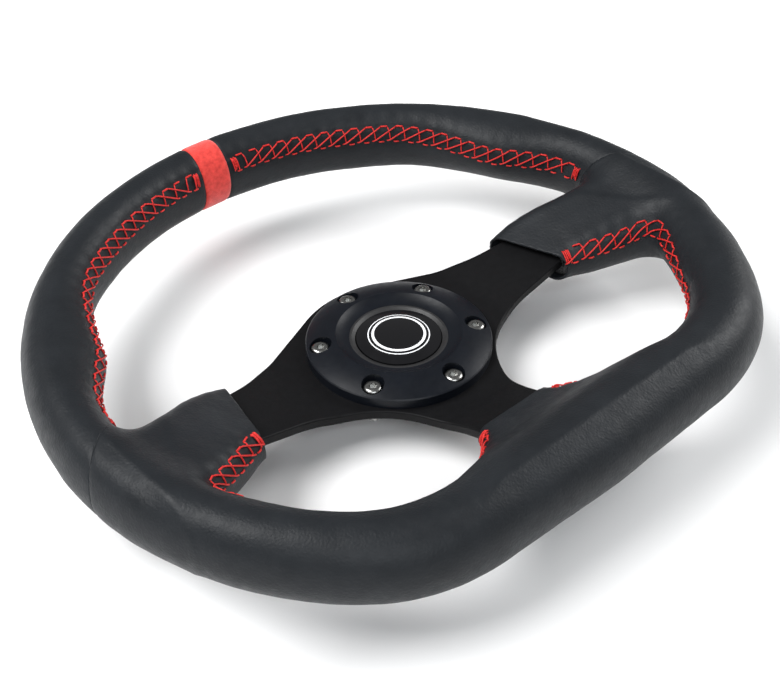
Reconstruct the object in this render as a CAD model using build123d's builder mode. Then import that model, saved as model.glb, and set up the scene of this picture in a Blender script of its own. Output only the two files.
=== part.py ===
"""Sports steering wheel with three spokes, a flat bottom and a sprung horn button.

Frame: the origin is the centre of the spoke plate's back face, which bolts to a hub.
+Z points at the driver, +Y at 12 o'clock and +X at 3 o'clock. Sizes are in millimetres.
"""
import os
from math import asin, atan2, cos, degrees, hypot, radians, sin, sqrt, tan

from build123d import *

os.makedirs("parts", exist_ok=True)

# ---------------------------------------------------------------- driving dimensions
# grip: a half circle above 3 and 9 o'clock, flatter side arcs, corners, a flat bottom
grip_width = 320.0            # overall width across the leather
grip_half = 13.0              # half thickness in the wheel's plane, upper arc
grip_half_low = 15.0          # the same at the lower corners
grip_half_bottom = 17.5       # the same at 6 o'clock
grip_half_depth = 17.0        # half depth along the column
grip_z = 26.0                 # height of the grip's middle over the hub face
flat_bottom_y = 112.5         # hub centre to the middle of the flat bottom run
side_arc_share = 10 / 9       # radius of the lower side arcs over flat_bottom_y
side_arc_angle = 52.0         # turn of a side arc before its corner
grip_swell_angle = 40.0       # turn over which the grip thickens below 3 o'clock

leather = 1.2                 # leather thickness
hoop_radius = 6.0             # steel bar inside the foam
mark_width = 15.0             # centre mark at 12 o'clock
upper_seam_angle = 7.0        # seam of the upper leather above 3 and 9 o'clock

# spoke plate
plate = 4.5                   # thickness
hub_disc_radius = 46.5        # flat disc that carries the horn
shoulder_angle = 66.5         # polar angle where the side spoke leaves the disc
shoulder_radius = 60.0        # hollow of the side spoke's upper edge
side_bend_x = 50.0            # where the side spokes start to rise
bottom_bend_y = 48.0          # where the bottom spoke starts to rise
bend_radius = 30.0            # inside radius of those bends
side_spoke_high = 21.0        # upper edge of a side spoke over the hub centre
side_spoke_low = 14.0         # lower edge of a side spoke under the hub centre
bottom_spoke_half = 18.0      # half width of the bottom spoke
crotch_radius = 49.5          # arc between a side spoke and the bottom spoke
tongue_half = 11.0            # half width of the spoke ends in the foam
tongue_y = -13.0              # middle of a side tongue at the hoop
tongue_reach = 49.0           # a side spoke starts to narrow this far inside the grip's middle
tongue_fall = 7.5             # drop of the upper edge there
tongue_straight = 12.0        # straight end of a side tongue before the hoop
neck_run = 18.0               # side bend to the corner of the upper edge
low_run = 6.0                 # straight lower edge past the cover's end
bottom_straight = 4.0         # the bottom spoke keeps its width this far into its cover
bottom_taper = 14.0           # and is down to its tongue here
hub_split_y = -40.0           # the bottom spoke joins the hub disc here
plate_edge = 0.8              # rounding of the plate's outline

# covers that run down the spokes
side_cover_reach = 63.0       # end of the side covers, inward from the grip's middle line
side_cover_slant = 12.3       # degrees that this end leans off the Y axis
bottom_cover_reach = 42.5     # end of the bottom cover, inward from the flat's middle line
side_cover_plan = [           # inward, rise over the upper edge, drop under the lower edge, foam
    (side_cover_reach + 6.0, 1.8, 2.5, 2.1),
    (57.0, -1.2, 5.0, 2.8),
    (45.0, -5.2, 12.0, 4.7),
    (33.0, -11.2, 17.0, 7.5),
    (21.0, -14.5, 24.0, 10.0),
    (7.0, -14.0, 36.0, 10.5),
]
bottom_cover_plan = [         # inward, side step past the spoke's edge, foam
    (bottom_cover_reach, 2.0, 2.1),
    (35.5, 6.5, 3.1),
    (28.5, 15.0, 5.5),
    (21.5, 26.0, 8.5),
    (14.5, 38.0, 10.5),
    (2.5, 44.0, 10.5),
]

# spoke clamps on the hoop
seat_gap = 2.6                # spoke end to the hoop
clamp_wall = 2.2
clamp_half_length = 9.0       # half length along the hoop
clamp_leg = 23.0              # from the hoop's middle to the end of the legs
clamp_leg_wall = 1.8
rivet_radius = 2.4
rivet_head_radius = 4.0
rivet_head = 1.4
rivet_reach = 16.0            # hoop's middle to the rivets
rivet_half_pitch = 5.0
pocket_room = 0.3             # foam stands this far off a clamp

# hub bolts
bolt_count = 6
bolt_circle = 70.0            # diameter of the bolt circle
bolt_radius = 2.5             # thread that stands out of the plate's back
bolt_waist = 0.2              # how much thinner the shank is inside the bezel and plate
bolt_head_radius = 4.2
bolt_head = 2.7
bolt_hex = 3.2                # socket across its flats
bolt_hex_depth = 1.7
bolt_length = 15.9            # under the head, waisted shank and thread
bolt_clearance = 0.2
counterbore_radius = 4.95

# horn bezel
bezel_radius = 41.4
bezel_rim_z = 9.4             # height of the outer edge
bezel_crest_radius = 28.0
bezel_crest_z = 13.0
bezel_mouth_radius = 21.95
bezel_mouth_z = 10.4
bezel_floor_z = 7.9           # seat of the bolt heads
bezel_edge = 0.5
bezel_crown = 0.5             # rise of the crowned face over a straight cone
bezel_hollow = 0.35           # depth of the hollow face inside the crest

# horn button
press_travel = 2.0            # stroke of the button
gap = 0.4                     # between moving and fixed pieces
fit = 0.05                    # between fixed pieces that sit in each other
housing_radius = 22.8
housing_flange_radius = 26.0
housing_flange_z = 7.6        # top of the flange under the bezel
housing_lip = 1.6             # width of the sloping lip round the button
housing_bore = 19.3
housing_wall = 1.8            # wall round the insulating base
gasket = 0.8
cap_edge_z = 9.9
cap_crown_z = 12.5
cap_floor_z = 8.3             # underside of the cap
cap_wall = 1.6
cap_catch = 1.3               # catch ring outside the cap's skirt
cap_catch_height = 1.4
emblem_radius = 15.0
emblem = 0.9                  # thickness of the emblem disc
plunger_radius = 3.4
plunger_socket = 1.1          # how far it sits in the cap
contact_radius = 7.6
contact = 0.8                 # thickness of the moving contact
contact_z = -2.0              # upper face of the moving contact
contact_gap = 0.3             # left between the contacts with the button pressed
leaf = 0.5                    # thickness of the fixed brass rings
leaf_bore = 3.4
base = 2.6                    # thickness of the insulating base
base_pocket = 1.4             # depth of the pocket under the contact screw
screw_radius = 1.0
screw_head_radius = 1.9
screw_head = 0.9
screw_length = 5.0
spring_radius = 12.0
spring_wire = 0.6             # radius of the wire
spring_turns = 5.0
spring_seat_half = 1.6        # half width of the brass ring under the spring
circlip = 1.0
circlip_depth = 0.9           # how deep it sits in its groove
circlip_width = 2.2
housing_tail = 1.2            # housing below the circlip
terminal_width = 6.3
terminal_length = 9.0
terminal_foot = 8.0
terminal_rivet_radius = 1.25
terminal_rivet_head = 0.8
terminal_spots = [(0.0, 5.5), (0.0, -12.0)]
circlip_gap = 6.0
circlip_eye = 13.0            # degrees from the gap's middle to a circlip's eye

# stitched bands
thread = 0.5                  # how far the stitches stand up
seam_lift = 0.05
seam_low_angle = 8.0          # band round the grip's oval, from its inner side up
seam_high_angle = 40.0
seam_start = 14.0             # polar angle where the upper band starts
seam_low_turn = 34.0          # turn below 3 o'clock where the lower bands start
seam_flat_share = 0.1         # share of the flat run that the lower bands reach

# ---------------------------------------------------------------- derived values
arc_radius = grip_width / 2 - grip_half
side_arc_radius = flat_bottom_y * side_arc_share
side_cover_end = arc_radius - side_cover_reach
bottom_cover_end = flat_bottom_y - bottom_cover_reach
tongue_start = arc_radius - tongue_reach
side_centre_x = arc_radius - side_arc_radius
side_sin = sin(radians(side_arc_angle))
corner_radius = (flat_bottom_y - side_arc_radius * side_sin) / (1 - side_sin)
corner_x = side_centre_x + (side_arc_radius - corner_radius) * cos(radians(side_arc_angle))
corner_y = -(side_arc_radius - corner_radius) * side_sin
plate_mid = plate / 2
side_seat_x = side_centre_x + sqrt(side_arc_radius**2 - tongue_y**2)
side_rise = atan2(grip_z - plate_mid, side_seat_x - side_bend_x)
bottom_rise = atan2(grip_z - plate_mid, flat_bottom_y - bottom_bend_y)
bolt_ring = bolt_circle / 2
mouth_radius = bezel_mouth_radius - fit
catch_bore = housing_bore + cap_catch
base_bore = housing_radius - housing_wall
cap_radius = housing_bore - gap
skirt_z = plate - gap - cap_catch_height
moving_contact_low = contact_z - contact
fixed_contact_z = moving_contact_low - press_travel - contact_gap
base_z = fixed_contact_z - leaf
base_low = base_z - base
housing_low = base_low - circlip - housing_tail


def finish(builder, name):
    """Label a piece and write it under its own name."""
    builder.part.label = name
    export_step(builder.part, f"parts/{name}.step")


def polar(radius, angle):
    """Point at a polar angle in degrees in the wheel's plane."""
    return radius * cos(radians(angle)), radius * sin(radians(angle))


def ring_piece(outer, inner, low, high):
    """Flat ring about the column."""
    with BuildPart() as body:
        with BuildSketch(Plane.XY.offset(low)):
            Circle(outer)
            if inner > 0:
                Circle(inner, mode=Mode.SUBTRACT)
        extrude(amount=high - low)
    return body.part


def turned(points):
    """Solid turned about the column from (radius, height) corners."""
    with BuildPart() as body:
        with BuildSketch(Plane.XZ):
            with BuildLine():
                Polyline(*points, close=True)
            make_face()
        revolve(axis=Axis.Z)
    return body.part


# ---------------------------------------------------------------- soft body
side_turns = [side_arc_angle * i / 4 for i in range(4)]
corner_turns = [side_arc_angle + (90 - side_arc_angle) * i / 4 for i in range(5)]
flat_runs = [corner_x * i / 3 for i in range(1, 5)]
lower_stations = [(turn, 0.0) for turn in side_turns + corner_turns]
lower_stations += [(90.0, run) for run in flat_runs]


def grip_station(turn, along):
    """Plane across the lower right grip and the grip's half thickness there.

    turn is the angle turned below 3 o'clock, up to 90; along is the distance from the
    corner towards 6 o'clock. The plane's X points outward and its Y along +Z.
    """
    a = radians(turn)
    if turn < side_arc_angle:
        x, y, r = side_centre_x, 0.0, side_arc_radius
    else:
        x, y, r = corner_x, corner_y, corner_radius
    s = min(1.0, turn / grip_swell_angle)
    half = grip_half + (grip_half_low - grip_half) * s * s * (3 - 2 * s)
    f = min(1.0, along / corner_x)
    half += (grip_half_bottom - grip_half_low) * f * f * (3 - 2 * f)
    point = (x + r * cos(a) - along, y - r * sin(a), grip_z)
    across = Plane(origin=point, x_dir=(cos(a), -sin(a), 0), z_dir=(-sin(a), -cos(a), 0))
    return across, half


lean = radians(side_cover_slant)
side_cover_cut = Plane(origin=(side_cover_end, 0, 0), z_dir=(cos(lean), sin(lean), 0))


def side_cover_stations():
    """Stations of the right cover: plane across the spoke, half width, half depth."""
    stations = []
    for inward, over, under, foam in side_cover_plan:
        x = arc_radius - inward
        top = side_spoke_high + over
        low = -side_spoke_low - under
        mid_z = plate_mid + (x - side_bend_x) * tan(side_rise)
        across = Plane(origin=(x, (top + low) / 2, mid_z), x_dir=(0, 1, 0), z_dir=(1, 0, 0))
        stations.append((across, (top - low) / 2, plate_mid + foam + leather))
    return stations


def bottom_cover_stations():
    """Stations of the bottom cover: plane across the spoke, half width, half depth."""
    stations = []
    for inward, step, foam in bottom_cover_plan:
        y = inward - flat_bottom_y
        mid_z = plate_mid + (-y - bottom_bend_y) * tan(bottom_rise)
        across = Plane(origin=(0, y, mid_z), x_dir=(1, 0, 0), z_dir=(0, -1, 0))
        stations.append((across, bottom_spoke_half + step, plate_mid + foam + leather))
    return stations


def cover(stations, grow):
    """Solid of one spoke cover through rounded rectangles at its stations."""
    with BuildPart() as body:
        for across, half, depth in stations:
            with BuildSketch(across):
                RectangleRounded(2 * (half + grow), 2 * (depth + grow), 0.96 * (depth + grow))
        loft()
    return body.part


def soft_half(grow):
    """Right half of the grip with its covers, grown by grow; x is 0 or more."""
    with BuildPart() as side:
        add(cover(side_cover_stations(), grow))
        split(bisect_by=side_cover_cut, keep=Keep.TOP)
    with BuildPart() as half_ring:
        with BuildSketch(Plane.XZ):
            with Locations((arc_radius, grip_z)):
                Ellipse(grip_half + grow, grip_half_depth + grow)
        revolve(axis=Axis.Z, revolution_arc=95)
        for turn, along in lower_stations:
            across, half = grip_station(turn, along)
            with BuildSketch(across):
                Ellipse(half + grow, grip_half_depth + grow)
        loft()
        add(side.part)
        add(cover(bottom_cover_stations(), grow))
        split(bisect_by=Plane.YZ, keep=Keep.TOP)
    return half_ring.part


# ---------------------------------------------------------------- armature hoop
with BuildPart() as rim_hoop:
    with BuildLine() as hoop_path:
        CenterArc((0, 0), arc_radius, 0, 180)
        CenterArc((side_centre_x, 0), side_arc_radius, 0, -side_arc_angle)
        CenterArc((corner_x, corner_y), corner_radius, -side_arc_angle, side_arc_angle - 90)
        Line((corner_x, -flat_bottom_y), (-corner_x, -flat_bottom_y))
        CenterArc((-corner_x, corner_y), corner_radius, -90, side_arc_angle - 90)
        CenterArc((-side_centre_x, 0), side_arc_radius, 180 + side_arc_angle, -side_arc_angle)
    hoop_wire = hoop_path.wires()[0].moved(Location((0, 0, grip_z)))
    with BuildSketch(Plane(origin=(0, arc_radius, grip_z), x_dir=(0, 1, 0), z_dir=(-1, 0, 0))):
        Circle(hoop_radius)
    sweep(path=hoop_wire)
finish(rim_hoop, "rim_hoop")

# ---------------------------------------------------------------- spoke plate
def bent_strip(start, reach, rise, drop):
    """Corners of the plate's side view: flat to start, then rising to reach.

    The corners are (distance from the hub, height). reach is measured along the rising
    part's middle; drop makes the strip start on the far side of the hub centre.
    """
    shift = plate_mid * tan(rise / 2)
    mid = (start + reach * cos(rise), plate_mid + reach * sin(rise))
    side = (plate_mid * sin(rise), -plate_mid * cos(rise))
    low_end = (mid[0] + side[0], mid[1] + side[1])
    high_end = (mid[0] - side[0], mid[1] - side[1])
    return [(drop, 0), (start + shift, 0), low_end, high_end, (start - shift, plate), (drop, plate)]


def bent_body(view_plane, start, reach, rise, drop, half_width):
    """Bent strip of full width; the corners of the bend are rounded."""
    corners = bent_strip(start, reach, rise, drop)
    with BuildPart() as body:
        with BuildSketch(view_plane) as view:
            with BuildLine():
                Polyline(*corners, close=True)
            make_face()
            outer = view.vertices().sort_by_distance((*corners[1], 0))[0]
            fillet(outer, bend_radius + plate)
            inner = view.vertices().sort_by_distance((*corners[4], 0))[0]
            fillet(inner, bend_radius)
        extrude(amount=half_width, both=True)
    return body.part


side_reach = hypot(side_seat_x - side_bend_x, grip_z - plate_mid) - hoop_radius - seat_gap
bottom_reach = hypot(flat_bottom_y - bottom_bend_y, grip_z - plate_mid) - hoop_radius - seat_gap
shoulder = polar(hub_disc_radius, shoulder_angle)
shoulder_fall = 1 / tan(radians(shoulder_angle))
neck_x = side_bend_x + neck_run
neck_y = shoulder[1] - (neck_x - shoulder[0]) * shoulder_fall
crotch = (bottom_spoke_half + crotch_radius, -side_spoke_low - crotch_radius)

with BuildPart() as spokes:
    with BuildSketch() as outline:
        with BuildLine():
            Polyline(
                (0, 0),
                shoulder,
                (neck_x, neck_y),
                (tongue_start, side_spoke_high - tongue_fall),
                (side_seat_x - tongue_straight, tongue_y + tongue_half),
                (side_seat_x, tongue_y + tongue_half),
                (side_seat_x, tongue_y - tongue_half),
                (side_seat_x - tongue_straight, tongue_y - tongue_half),
                (side_cover_end + low_run, -side_spoke_low),
                (crotch[0], -side_spoke_low),
                (bottom_spoke_half, crotch[1]),
                (bottom_spoke_half, -bottom_cover_end - bottom_straight),
                (tongue_half, -bottom_cover_end - bottom_taper),
                (tongue_half, -flat_bottom_y),
                (0, -flat_bottom_y),
                close=True,
            )
        make_face()
        neck = outline.vertices().sort_by_distance((neck_x, neck_y, 0))[0]
        fillet(neck, shoulder_radius)
        Circle(hub_disc_radius)
        with Locations(crotch):
            Circle(crotch_radius, mode=Mode.SUBTRACT)
        split(bisect_by=Plane.YZ, keep=Keep.TOP)
    extrude(amount=2 * grip_z)
    mirror(about=Plane.YZ)

with BuildPart() as side_strips:
    add(bent_body(Plane.XZ, side_bend_x, side_reach, side_rise, -side_bend_x / 2, grip_width))
    mirror(about=Plane.YZ)

with BuildPart() as upper_leaf:
    add(spokes.part)
    split(bisect_by=Plane.XZ.offset(-hub_split_y), keep=Keep.BOTTOM)
    add(side_strips.part, mode=Mode.INTERSECT)
with BuildPart() as lower_leaf:
    add(spokes.part)
    split(bisect_by=Plane.XZ.offset(-hub_split_y), keep=Keep.TOP)
    bottom_view = Plane(origin=(0, 0, 0), x_dir=(0, -1, 0), z_dir=(-1, 0, 0))
    bottom_strip = bent_body(bottom_view, bottom_bend_y, bottom_reach, bottom_rise, 0, grip_width)
    add(bottom_strip, mode=Mode.INTERSECT)

with BuildPart() as spoke_plate:
    add(upper_leaf.part)
    add(lower_leaf.part)
    walls = spoke_plate.faces().filter_by(lambda face: abs(face.normal_at().Z) < 1e-3)
    rims = walls.edges().filter_by(Axis.Z, reverse=True)
    fillet(rims, plate_edge)
    with BuildSketch():
        Circle(housing_radius + bolt_clearance)
        with PolarLocations(bolt_ring, bolt_count, start_angle=90):
            Circle(bolt_radius + bolt_clearance)
    extrude(amount=plate, mode=Mode.SUBTRACT)

# ---------------------------------------------------------------- clamps and their rivets
side_turn = asin(-tongue_y / side_arc_radius)
right_seat = Plane(
    origin=(side_seat_x, tongue_y, grip_z),
    x_dir=(-cos(side_rise), 0, -sin(side_rise)),
    z_dir=(-sin(side_rise), 0, cos(side_rise)),
)
bottom_seat = Plane(
    origin=(0, -flat_bottom_y, grip_z),
    x_dir=(0, cos(bottom_rise), -sin(bottom_rise)),
    z_dir=(0, sin(bottom_rise), cos(bottom_rise)),
)
right_bar = Plane(origin=right_seat.origin, z_dir=(sin(side_turn), cos(side_turn), 0))
bottom_bar = Plane(origin=bottom_seat.origin, z_dir=(1, 0, 0))


def clamp(seat, bar):
    """Block that grips the hoop, with two legs over the spoke's end."""
    with BuildPart() as body:
        with BuildSketch(bar):
            Circle(hoop_radius + clamp_wall)
        extrude(amount=clamp_half_length, both=True)
        with BuildSketch(seat):
            with Locations((clamp_leg / 2, 0)):
                Rectangle(clamp_leg, 2 * clamp_half_length)
        extrude(amount=plate_mid + clamp_leg_wall, both=True)
        add(rim_hoop.part, mode=Mode.SUBTRACT)
        add(spoke_plate.part, mode=Mode.SUBTRACT)
    return body.part


def rivets(seat):
    """Two set rivets through the legs and the spoke's end."""
    top = plate_mid + clamp_leg_wall
    with BuildPart() as body:
        spots = [(rivet_reach, rivet_half_pitch), (rivet_reach, -rivet_half_pitch)]
        with BuildSketch(seat):
            with Locations(*spots):
                Circle(rivet_radius)
        extrude(amount=top, both=True)
        for side in (1, -1):
            with BuildSketch(seat.offset(side * top)):
                with Locations(*spots):
                    Circle(rivet_head_radius)
            extrude(amount=side * rivet_head, taper=35)
    return body.part


with BuildPart() as spoke_rivets:
    add(rivets(right_seat))
    mirror(about=Plane.YZ)
    add(rivets(bottom_seat))
finish(spoke_rivets, "spoke_rivets")

with BuildPart() as clamp_right:
    add(clamp(right_seat, right_bar))
    add(spoke_rivets.part, mode=Mode.SUBTRACT)
finish(clamp_right, "clamp_right")

with BuildPart() as clamp_left:
    mirror(clamp_right.part, about=Plane.YZ)
finish(clamp_left, "clamp_left")

with BuildPart() as clamp_bottom:
    add(clamp(bottom_seat, bottom_bar))
    add(spoke_rivets.part, mode=Mode.SUBTRACT)
finish(clamp_bottom, "clamp_bottom")

with BuildPart(mode=Mode.PRIVATE) as riveted_plate:
    add(spoke_plate.part)
    add(spoke_rivets.part, mode=Mode.SUBTRACT)
spoke_plate = riveted_plate
finish(spoke_plate, "spoke_plate")

# ---------------------------------------------------------------- foam and leather
foam_half = soft_half(-leather)
skin_half = soft_half(0)


def clamp_pocket(seat, bar):
    """Room in the foam for one clamp with its rivets."""
    room = plate_mid + clamp_leg_wall + rivet_head + pocket_room
    with BuildPart() as body:
        with BuildSketch(bar):
            Circle(hoop_radius + clamp_wall + pocket_room)
        extrude(amount=clamp_half_length + pocket_room, both=True)
        with BuildSketch(seat):
            with Locations(((clamp_leg + pocket_room) / 2, 0)):
                Rectangle(clamp_leg + pocket_room, 2 * (clamp_half_length + pocket_room))
        extrude(amount=room, both=True)
    return body.part


with BuildPart() as rim_foam:
    add(foam_half)
    add(rim_hoop.part, mode=Mode.SUBTRACT)
    add(clamp_pocket(right_seat, right_bar), mode=Mode.SUBTRACT)
    add(clamp_pocket(bottom_seat, bottom_bar), mode=Mode.SUBTRACT)
    add(spoke_plate.part, mode=Mode.SUBTRACT)
    mirror(about=Plane.YZ)
finish(rim_foam, "rim_foam")

with BuildPart() as leather_half:
    add(skin_half)
    add(foam_half, mode=Mode.SUBTRACT)
    add(spoke_plate.part, mode=Mode.SUBTRACT)

mark_cut = Plane(origin=(mark_width / 2, 0, 0), z_dir=(1, 0, 0))
seam_turn = radians(upper_seam_angle)
seam_cut = Plane(origin=(0, 0, 0), z_dir=(-sin(seam_turn), cos(seam_turn), 0))

inner_wall = arc_radius - grip_half
with BuildPart() as cover_zone:
    with BuildSketch(Plane.XY):
        Circle(inner_wall - fit)
    extrude(amount=2 * (grip_z + grip_half_depth))

with BuildPart() as leather_upper_right:
    add(leather_half.part)
    split(bisect_by=mark_cut, keep=Keep.TOP)
    split(bisect_by=seam_cut, keep=Keep.TOP)
    add(cover_zone.part, mode=Mode.SUBTRACT)
finish(leather_upper_right, "leather_upper_right")

with BuildPart() as leather_upper_left:
    mirror(leather_upper_right.part, about=Plane.YZ)
finish(leather_upper_left, "leather_upper_left")

with BuildPart() as leather_lower_right:
    add(leather_half.part)
    split(bisect_by=mark_cut, keep=Keep.TOP)
    split(bisect_by=seam_cut, keep=Keep.TOP)
    add(cover_zone.part, mode=Mode.INTERSECT)
    with BuildPart(mode=Mode.PRIVATE) as below_seam:
        add(leather_half.part)
        split(bisect_by=seam_cut, keep=Keep.BOTTOM)
    add(below_seam.part)

with BuildPart() as leather_lower:
    add(leather_lower_right.part)
    mirror(about=Plane.YZ)
finish(leather_lower, "leather_lower")

with BuildPart() as centre_mark:
    add(leather_half.part)
    split(bisect_by=mark_cut, keep=Keep.BOTTOM)
    split(bisect_by=Plane.XZ, keep=Keep.BOTTOM)
    mirror(about=Plane.YZ)
finish(centre_mark, "centre_mark")

# ---------------------------------------------------------------- seams beside the openings
def seam_band(half, middle=0.0):
    """Corners of the stitched band on the grip's inner upper side, X outward."""
    angles = [seam_low_angle + (seam_high_angle - seam_low_angle) * i / 4 for i in range(5)]
    under, over = seam_lift, seam_lift + thread
    low = [(half + under, grip_half_depth + under, a) for a in angles]
    high = [(half + over, grip_half_depth + over, a) for a in reversed(angles)]
    return [(middle - w * cos(radians(a)), h * sin(radians(a))) for w, h, a in low + high]


with BuildPart() as seam_upper:
    start = Vector(*polar(1, seam_start))
    end_angle = 90 - degrees((mark_width / 2 + seam_lift) / inner_wall)
    with BuildSketch(Plane(origin=(0, 0, grip_z), x_dir=start, z_dir=start.cross(Vector(0, 0, 1)))):
        with BuildLine():
            Polyline(*seam_band(grip_half, arc_radius), close=True)
        make_face()
    revolve(axis=Axis.Z, revolution_arc=end_angle - seam_start)
    mirror(about=Plane.YZ)
finish(seam_upper, "seam_upper")

with BuildPart() as seam_lower_right:
    for turn, along in lower_stations:
        across, half = grip_station(turn, along)
        with BuildSketch(across):
            with BuildLine():
                Polyline(*seam_band(half), close=True)
            make_face()
    loft()
    split(bisect_by=grip_station(seam_low_turn, 0)[0], keep=Keep.TOP)
    split(bisect_by=Plane.YZ.offset(corner_x * (1 - seam_flat_share)), keep=Keep.TOP)
    add(skin_half, mode=Mode.SUBTRACT)
finish(seam_lower_right, "seam_lower_right")

with BuildPart() as seam_lower_left:
    mirror(seam_lower_right.part, about=Plane.YZ)
finish(seam_lower_left, "seam_lower_left")

# ---------------------------------------------------------------- horn bezel and hub bolts
with BuildPart() as horn_bezel:
    with BuildSketch(Plane.XZ):
        with BuildLine():
            Polyline(
                (bezel_crest_radius, bezel_crest_z),
                (bezel_radius - bezel_edge, bezel_rim_z),
                (bezel_radius, bezel_rim_z - bezel_edge),
                (bezel_radius, plate),
                (housing_flange_radius + fit, plate),
                (housing_flange_radius + fit, housing_flange_z + fit),
                (bezel_mouth_radius, housing_flange_z + fit),
                (bezel_mouth_radius, bezel_mouth_z),
                (bezel_crest_radius, bezel_crest_z),
            )
        make_face()
        with BuildLine():
            crown = ((bezel_crest_radius, bezel_crest_z), (bezel_radius - bezel_edge, bezel_rim_z))
            Line(*crown)
            SagittaArc(*crown, bezel_crown)
        make_face()
        with BuildLine():
            funnel = ((bezel_mouth_radius, bezel_mouth_z), (bezel_crest_radius, bezel_crest_z))
            Line(*funnel)
            SagittaArc(*funnel, -bezel_hollow)
        make_face(mode=Mode.SUBTRACT)
    revolve(axis=Axis.Z)
    crest = horn_bezel.edges().filter_by(GeomType.CIRCLE).filter_by(
        lambda edge: abs(edge.radius - bezel_crest_radius) < 0.01
    )
    fillet(crest, bezel_edge)
    with BuildSketch(Plane.XY.offset(bezel_floor_z)):
        with PolarLocations(bolt_ring, bolt_count, start_angle=90):
            Circle(counterbore_radius)
    extrude(amount=bezel_crest_z, mode=Mode.SUBTRACT)
    with BuildSketch(Plane.XY.offset(plate)):
        with PolarLocations(bolt_ring, bolt_count, start_angle=90):
            Circle(bolt_radius + bolt_clearance)
    extrude(amount=bezel_crest_z, mode=Mode.SUBTRACT)
finish(horn_bezel, "horn_bezel")

with BuildPart() as hub_bolts:
    with BuildSketch(Plane.XY.offset(bezel_floor_z)):
        with PolarLocations(bolt_ring, bolt_count, start_angle=90):
            Circle(bolt_head_radius)
    extrude(amount=bolt_head)
    tops = hub_bolts.edges().filter_by(GeomType.CIRCLE).group_by(Axis.Z)[-1]
    fillet(tops, bolt_head * 0.6)
    with BuildSketch(Plane.XY.offset(bezel_floor_z + bolt_head)):
        with PolarLocations(bolt_ring, bolt_count, start_angle=90):
            RegularPolygon(bolt_hex / sqrt(3), 6)
    extrude(amount=-bolt_hex_depth, mode=Mode.SUBTRACT)
    with BuildSketch(Plane.XY.offset(bezel_floor_z)):
        with PolarLocations(bolt_ring, bolt_count, start_angle=90):
            Circle(bolt_radius - bolt_waist)
    extrude(amount=-bezel_floor_z)
    with BuildSketch():
        with PolarLocations(bolt_ring, bolt_count, start_angle=90):
            Circle(bolt_radius)
    extrude(amount=bezel_floor_z - bolt_length)
    tips = hub_bolts.edges().filter_by(GeomType.CIRCLE).group_by(Axis.Z)[0]
    chamfer(tips, bolt_radius * 0.2)
finish(hub_bolts, "hub_bolts")

# ---------------------------------------------------------------- horn button, fixed pieces
with BuildPart() as horn_housing:
    add(turned([
        (housing_bore, bezel_mouth_z - housing_lip * 0.6),
        (housing_bore + housing_lip, bezel_mouth_z - 0.1),
        (mouth_radius, bezel_mouth_z - 0.1),
        (mouth_radius, housing_flange_z),
        (housing_flange_radius, housing_flange_z),
        (housing_flange_radius, plate + gasket),
        (housing_radius, plate + gasket),
        (housing_radius, housing_low),
        (base_bore, housing_low),
        (base_bore, base_z),
        (catch_bore, base_z),
        (catch_bore, plate),
        (housing_bore, plate),
    ]))
    add(ring_piece(base_bore + circlip_depth, base_bore - 1, base_low - circlip, base_low), mode=Mode.SUBTRACT)
finish(horn_housing, "horn_housing")

with BuildPart() as housing_gasket:
    add(ring_piece(housing_flange_radius, housing_radius + bolt_clearance, plate, plate + gasket))
finish(housing_gasket, "housing_gasket")

with BuildPart() as contact_base:
    add(ring_piece(base_bore - fit, 0, base_low, base_z))
    with BuildSketch(Plane.XY.offset(base_z)):
        Circle(leaf_bore)
    extrude(amount=-base_pocket, mode=Mode.SUBTRACT)
    with BuildSketch(Plane.XY.offset(base_low)):
        with Locations(*terminal_spots):
            Circle(terminal_rivet_radius)
    extrude(amount=base, mode=Mode.SUBTRACT)
finish(contact_base, "contact_base")

eye_ring = base_bore + circlip_depth - circlip_width - 2 * fit
with BuildPart() as base_circlip:
    with BuildSketch(Plane.XY.offset(base_low - circlip)):
        Circle(base_bore + circlip_depth)
        Circle(base_bore + circlip_depth - circlip_width, mode=Mode.SUBTRACT)
        with Locations((0, -base_bore)):
            Rectangle(circlip_gap, 4 * circlip_width, mode=Mode.SUBTRACT)
        with Locations(polar(eye_ring, -90 - circlip_eye), polar(eye_ring, -90 + circlip_eye)):
            Circle(circlip_width)
            Circle(circlip_width / 2.5, mode=Mode.SUBTRACT)
    extrude(amount=circlip)
finish(base_circlip, "base_circlip")

with BuildPart() as fixed_contact:
    add(ring_piece(contact_radius, leaf_bore, base_z, fixed_contact_z))
    with BuildSketch(Plane.XY.offset(base_z)):
        with Locations(terminal_spots[0]):
            Circle(terminal_rivet_radius)
    extrude(amount=leaf, mode=Mode.SUBTRACT)
finish(fixed_contact, "fixed_contact")

with BuildPart() as ground_ring:
    seat_high, seat_low = spring_radius + spring_seat_half, spring_radius - spring_seat_half
    add(ring_piece(seat_high, seat_low, base_z, fixed_contact_z))
    with BuildSketch(Plane.XY.offset(base_z)):
        with Locations(terminal_spots[1]):
            Circle(terminal_rivet_radius)
    extrude(amount=leaf, mode=Mode.SUBTRACT)
finish(ground_ring, "ground_ring")


def terminal(x, y):
    """Flat foot under the base and a blade that stands down from its end."""
    with BuildPart() as body:
        with BuildSketch(Plane.XY.offset(base_low)):
            with Locations((x, y)):
                Rectangle(terminal_width, terminal_foot)
                Circle(terminal_rivet_radius, mode=Mode.SUBTRACT)
        extrude(amount=-contact)
        with BuildSketch(Plane.XY.offset(base_low)):
            with Locations((x, y + terminal_foot / 2 - contact / 2)):
                Rectangle(terminal_width, contact)
        extrude(amount=-terminal_length)
        tip = body.faces().sort_by(Axis.Z)[0].edges().filter_by(Axis.Y)
        chamfer(tip, contact)
    return body.part


with BuildPart() as live_terminal:
    add(terminal(*terminal_spots[0]))
finish(live_terminal, "live_terminal")

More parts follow.
